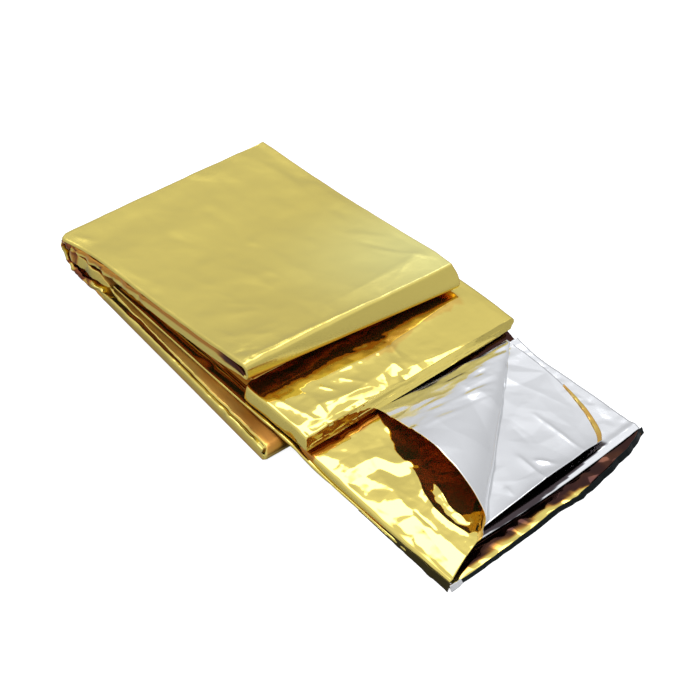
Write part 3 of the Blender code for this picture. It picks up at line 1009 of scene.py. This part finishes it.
class OBJECT_OT_blanket_inner_pages(bpy.types.Operator):
    """The silver page under the dog-ear, and the page below it"""
    bl_idname = "object.blanket_inner_pages"
    bl_label = "Inner pages"

    def execute(self, context):
        crumple = context.scene.blanket_film.crumple
        points = page_points(INNER_PAGE, INNER_COLUMNS)
        lift = 0.28 * crushed(points, 9, 50) + 0.25 * lattice_noise(points, 20, 51)
        lift += crease_field(points, INNER_CREASES) + 0.04 * crushed(points, 3.5, 52)
        points[..., 2] += lift * crumple
        thing = add_page("inner_page", points, ["silver film, bright"])

        hemmed = points[points[:, -1, 1] < HEM_FROM]
        edge = hemmed[:, -1]
        outward = unit(edge - hemmed[:, -HEM_GUIDE])
        forward = np.linspace(0, 1, len(hemmed))[:, None]
        width = HEM_WIDTH_BACK * (1 - forward) + HEM_WIDTH_FRONT * forward
        out = HEM_OVERHANG - np.linspace(0, 1, HEM_STEPS)[None, :] * width
        points = edge[:, None] + outward[:, None] * out[:, :, None]
        points[..., 2] += HEM_LIFT + 0.12 * lattice_noise(points, 2.5, 57)
        # Painted shade: the hem's gold is painted darker and redder, unevenly.
        tucked = 0.3 + 0.25 * lattice_noise(points, 4, 58)
        trim = add_page("hem", points, ["gold film"], tucked=tucked)
        dress(trim)
        dress(thing)

        points = page_points(LOWER_PAGE, LOWER_COLUMNS)
        x, y, z = axes(points)
        rim = np.clip(1 - np.abs((y - y[-1:]) / RIM_WIDTH - 1), 0, 1) * above(x, 24, 14)
        lift = LOWER_PAGE_LIFT + 0.13 * crushed(points, 7, 55) + RIM_HEIGHT * rim
        lift += 0.16 * above(x, 98, 6) * crushed(points, 3, 56)
        z += lift * crumple
        # Painted shade and painted shadow: the silver under the inner page's front is painted dark.
        share = np.clip((x - TUCK_LEFT[0]) / (TUCK_RIGHT[0] - TUCK_LEFT[0]), 0, 1)
        front = TUCK_LEFT[1] * (1 - share) + TUCK_RIGHT[1] * share
        front -= FRONT_BOW * np.sin(math.pi * share)
        behind = y - front - TUCK_CLEAR - 0.5 * crushed(points, 3, 59)
        covered = above(behind, 0, 0.5) * below(x, TUCK_RIGHT[0], 3)
        thing = add_page("lower_page", points, ["silver film, bright"],
                         tucked=covered, shadow=0.8 * covered)
        dress(thing)
        return {"FINISHED"}


class OBJECT_OT_blanket_top_page(bpy.types.Operator):
    """The topmost page, with its dog-eared corner turned over to the silver side"""
    bl_idname = "object.blanket_top_page"
    bl_label = "Dog-eared page"

    def execute(self, context):
        # Rows down the page, and columns round its left side, across it and across its ear.
        rows, side, flat, ear = 150, 14, 110, 110
        edge = np.array(interpolate_bezier(*[Vector(p) for p in EAR_EDGE], ear + 1))
        tip = np.array(EAR_TIP)
        down = np.linspace(0, 1, rows)[:, None, None]
        left = np.array(PAGE_BACK_LEFT) * (1 - down) + np.array(PAGE_FRONT_LEFT) * down
        left_y = left[..., 1]
        reach = EAR_START + (1 - EAR_START) * down
        start = tip * (1 - reach) + edge[0] * reach
        dropped = PAGE_SLOPE * below(left_y, -200, 60)
        slope_reach = PAGE_SLOPE_REACH + PAGE_SLOPE_WIDER * (1 - below(left_y, -192, 30))

        last = math.pi - PAGE_ROLL * dropped / PAGE_SLOPE
        angle = last * np.linspace(0, 1, side, endpoint=False)[None, :]
        turn = np.repeat(left, side, axis=1)
        x, y, z = axes(turn)
        x -= PAGE_SIDE_BULGE * (np.sin(angle) - np.sin(last)) / (1 - np.sin(last))
        z -= dropped
        foot = np.interp(
            -left_y, [-row.y_left for row in LONG_RUN], [row.z_left for row in LONG_RUN])
        z[:] = foot + (z - foot) * (1 - np.cos(angle)) / (1 - np.cos(last))

        share = np.linspace(0, 1, flat, endpoint=False)[None, :, None]
        page = left * (1 - share) + start * share
        x, y, z = axes(page)
        to_side = np.maximum(0, 1 - (x - left[..., 0]) / slope_reach)
        z -= dropped * to_side ** PAGE_SLOPE_POWER
        points = np.concatenate([turn, page, tip * (1 - reach) + edge[None] * reach], axis=1)

        column, fold, from_tip = np.arange(points.shape[1]), side + flat, reach[..., 0]
        x, y, z = axes(points)
        on_ear = above(column, fold + 8, 8)
        lift = crease_field(points, PAGE_CREASES) + 0.15 * lattice_noise(points, 12, 61)
        lift += 0.30 * crushed(points, 6, 60, PAGE_PEAKS)
        lift += 0.07 * crushed(points, 4, 64) + 0.03 * crushed(points, 1.9, 67)
        lift *= inside(column, side + 4, fold - 3, 5)
        soft = 0.3 * lattice_noise(points, 22, 62) + 0.45 * crushed(points, 11, 63)
        lift -= on_ear * soft * np.minimum(1, from_tip * 2)
        streaks = lattice_noise(points * (0.22, 1, 0.6), 2, 65)
        lift -= on_ear * 0.4 * streaks * above(y, -168, 12)
        groove = np.exp(-((column - fold - 16) / 5) ** 2)
        groove -= 0.5 * np.exp(-((column - fold - 30) / 7) ** 2)
        lift += 0.8 * groove * np.minimum(1, from_tip * 1.5)
        points = raised(points, lift, ring=False)

        x, y, z = axes(points)
        # Painted shade: the page's back under the middle pad's front, its rolled left side near the
        # front and the ear's gold underside are painted darker and redder.
        at_back = above(y + 1.2 * crushed(points, 4, 66), -152.6, 1.5) * below(column, fold, 2)
        at_back *= 0.75 + 0.25 * above(x, 70, 20)
        rolled = 0.6 * below(column, side / 2, 2) * below(y, -190, 14)
        tucked = np.maximum(0.3 * above(column, fold + 4, 6), at_back) + rolled
        thing = add_page("top_page", points, ["gold film", "silver film"], tucked=tucked)
        dress(thing)
        return {"FINISHED"}


FLOOR_CLEAR = 0.0002         # how far the floor lies below the blanket
SENSOR_WIDTH = 36.0
CLIP_START = 0.01
BOUNCES = 20                 # of the light between the film's wrinkles
PAPER = (0.52, 0.52, 0.52, 1.0)
PAPER_GLOW = 0.9             # what the camera sees of the floor, besides the light on it,
BACKDROP = 1.05              # and of the studio past it
COOLNESS = (0.985, 1.0, 1.04)    # of the studio's red, green and blue


class OBJECT_OT_blanket_stage(bpy.types.Operator):
    """The pale floor, the soft studio light and the camera"""
    bl_idname = "object.blanket_stage"
    bl_label = "Stage"

    def execute(self, context):
        scene = context.scene
        settings = scene.blanket_stage
        bpy.ops.object.select_all(action="DESELECT")
        bpy.ops.mesh.primitive_plane_add(size=settings.floor, location=(0, 0, -FLOOR_CLEAR))
        floor = context.object
        floor.name = "floor"
        bpy.ops.object.transform_apply(location=True, rotation=True, scale=True)
        floor.data.materials.append(floor_material())
        make_world(scene)

        camera = bpy.data.objects.new("camera", bpy.data.cameras.new("camera"))
        scene.collection.objects.link(camera)
        a, e = settings.azimuth, settings.elevation
        back = Vector((math.sin(a) * math.cos(e), -math.cos(a) * math.cos(e), math.sin(e)))
        camera.location = Vector(settings.target) + back * settings.distance
        camera.rotation_mode = "QUATERNION"
        camera.rotation_quaternion = back.to_track_quat("Z", "Y")
        camera.data.sensor_width = SENSOR_WIDTH
        camera.data.lens = settings.lens
        camera.data.clip_start = CLIP_START
        scene.camera = camera
        scene.view_settings.view_transform = "Standard"
        scene.cycles.caustics_reflective = False
        scene.cycles.glossy_bounces = BOUNCES
        scene.cycles.max_bounces = BOUNCES
        return {"FINISHED"}


def floor_material():
    """Pale seamless paper. It shows white, and reflects in the film as a softly lit grey."""
    material, tree = new_material("seamless paper")
    tree.nodes.remove(tree.nodes["Principled BSDF"])
    seen = node(tree, "ShaderNodeLightPath", {}, output="Is Camera Ray")
    paper = node(tree, "ShaderNodeBsdfDiffuse", {}, Color=PAPER)
    glow = node(tree, "ShaderNodeEmission", {}, Color=(1, 1, 1, 1), Strength=seen * PAPER_GLOW)
    both = node(tree, "ShaderNodeAddShader", {}, paper, glow)
    plug(tree, tree.nodes["Material Output"], Surface=both)
    return material


# Brightness of the studio by height: the sine of the elevation, and the light from there.
Step = namedtuple("Step", "height light")
WALLS = table(Step, [
    (0.0, 0.54), (0.3, 0.60), (0.58, 0.74), (0.65, 0.82), (0.75, 0.92), (1.0, 0.9),
])
# The big overhead soft box, which hangs on one side of the studio.
OVERHEAD = table(Step, [
    (0.0, 0.0), (0.70, 0.0), (0.775, 0.12), (0.795, 3.0), (0.94, 3.0), (0.975, 0.5), (1.0, 0.2),
])
OVERHEAD_MIDDLE = math.radians(26.0)
OVERHEAD_HALF = math.radians(37.0)
OVERHEAD_FADE = math.radians(18.0)
BRIGHTEST = 4.0


def height_ramp(tree, height, steps):
    """Light that depends on the height."""
    stops = [(step.height, (step.light / BRIGHTEST,) * 3 + (1.0,)) for step in steps]
    return node(tree, "ShaderNodeValToRGB", {"stops": stops}, height) * BRIGHTEST


def make_world(scene):
    """Studio light all round, with a big soft box overhead."""
    world = bpy.data.worlds.new("studio")
    scene.world = world
    world.use_nodes = True
    tree = world.node_tree
    direction = node(tree, "ShaderNodeTexCoord", {}, output="Generated")
    split = node(tree, "ShaderNodeSeparateXYZ", {}, direction)
    x, y, up = (Maths(tree, split.socket.node.outputs[axis]) for axis in "XYZ")
    azimuth = node(tree, "ShaderNodeMath", {"operation": "ARCTAN2"}, x, y)
    off = abs(azimuth - OVERHEAD_MIDDLE)
    side = node(tree, "ShaderNodeMapRange", {"interpolation_type": "SMOOTHSTEP"}, off,
                OVERHEAD_HALF - OVERHEAD_FADE / 2, OVERHEAD_HALF + OVERHEAD_FADE / 2, 1.0, 0.0)
    light = height_ramp(tree, up, WALLS) + height_ramp(tree, up, OVERHEAD) * side
    seen = node(tree, "ShaderNodeLightPath", {}, output="Is Camera Ray")
    light = light * (1 - seen) + seen * BACKDROP
    tint = node(tree, "ShaderNodeCombineColor", {}, *[light * part for part in COOLNESS])
    plug(tree, tree.nodes["Background"], Color=tint, Strength=1.0)


# ---------------------------------------------------------------- panel

PIECES = [
    OBJECT_OT_blanket_top_pad, OBJECT_OT_blanket_bottom_pad, OBJECT_OT_blanket_middle_pad,
    OBJECT_OT_blanket_open_end, OBJECT_OT_blanket_inner_pages, OBJECT_OT_blanket_top_page,
    OBJECT_OT_blanket_stage,
]


class VIEW3D_PT_blanket(bpy.types.Panel):
    bl_label = "Emergency foil blanket"
    bl_idname = "VIEW3D_PT_blanket"
    bl_space_type = "VIEW_3D"
    bl_region_type = "UI"
    bl_category = "Blanket"

    def draw(self, context):
        column = self.layout.column()
        scene = context.scene
        for group, settings in (("Film", scene.blanket_film), ("Stage", scene.blanket_stage)):
            column.label(text=group)
            for name in settings.__annotations__:
                column.prop(settings, name)
        for piece in PIECES:
            column.operator(piece.bl_idname)


CLASSES = [FilmSettings, StageSettings, *PIECES, VIEW3D_PT_blanket]


def register():
    for made in CLASSES:
        bpy.utils.register_class(made)
    bpy.types.Scene.blanket_film = bpy.props.PointerProperty(type=FilmSettings)
    bpy.types.Scene.blanket_stage = bpy.props.PointerProperty(type=StageSettings)


def unregister():
    del bpy.types.Scene.blanket_stage
    del bpy.types.Scene.blanket_film
    for made in reversed(CLASSES):
        bpy.utils.unregister_class(made)


def main():
    register()
    bpy.ops.object.select_all(action="DESELECT")
    bpy.ops.object.blanket_top_pad()
    bpy.ops.object.blanket_bottom_pad()
    bpy.ops.object.blanket_middle_pad()
    bpy.ops.object.blanket_open_end()
    bpy.ops.object.blanket_inner_pages()
    bpy.ops.object.blanket_top_page()
    bpy.ops.object.blanket_stage()


if __name__ == "__main__":
    main()
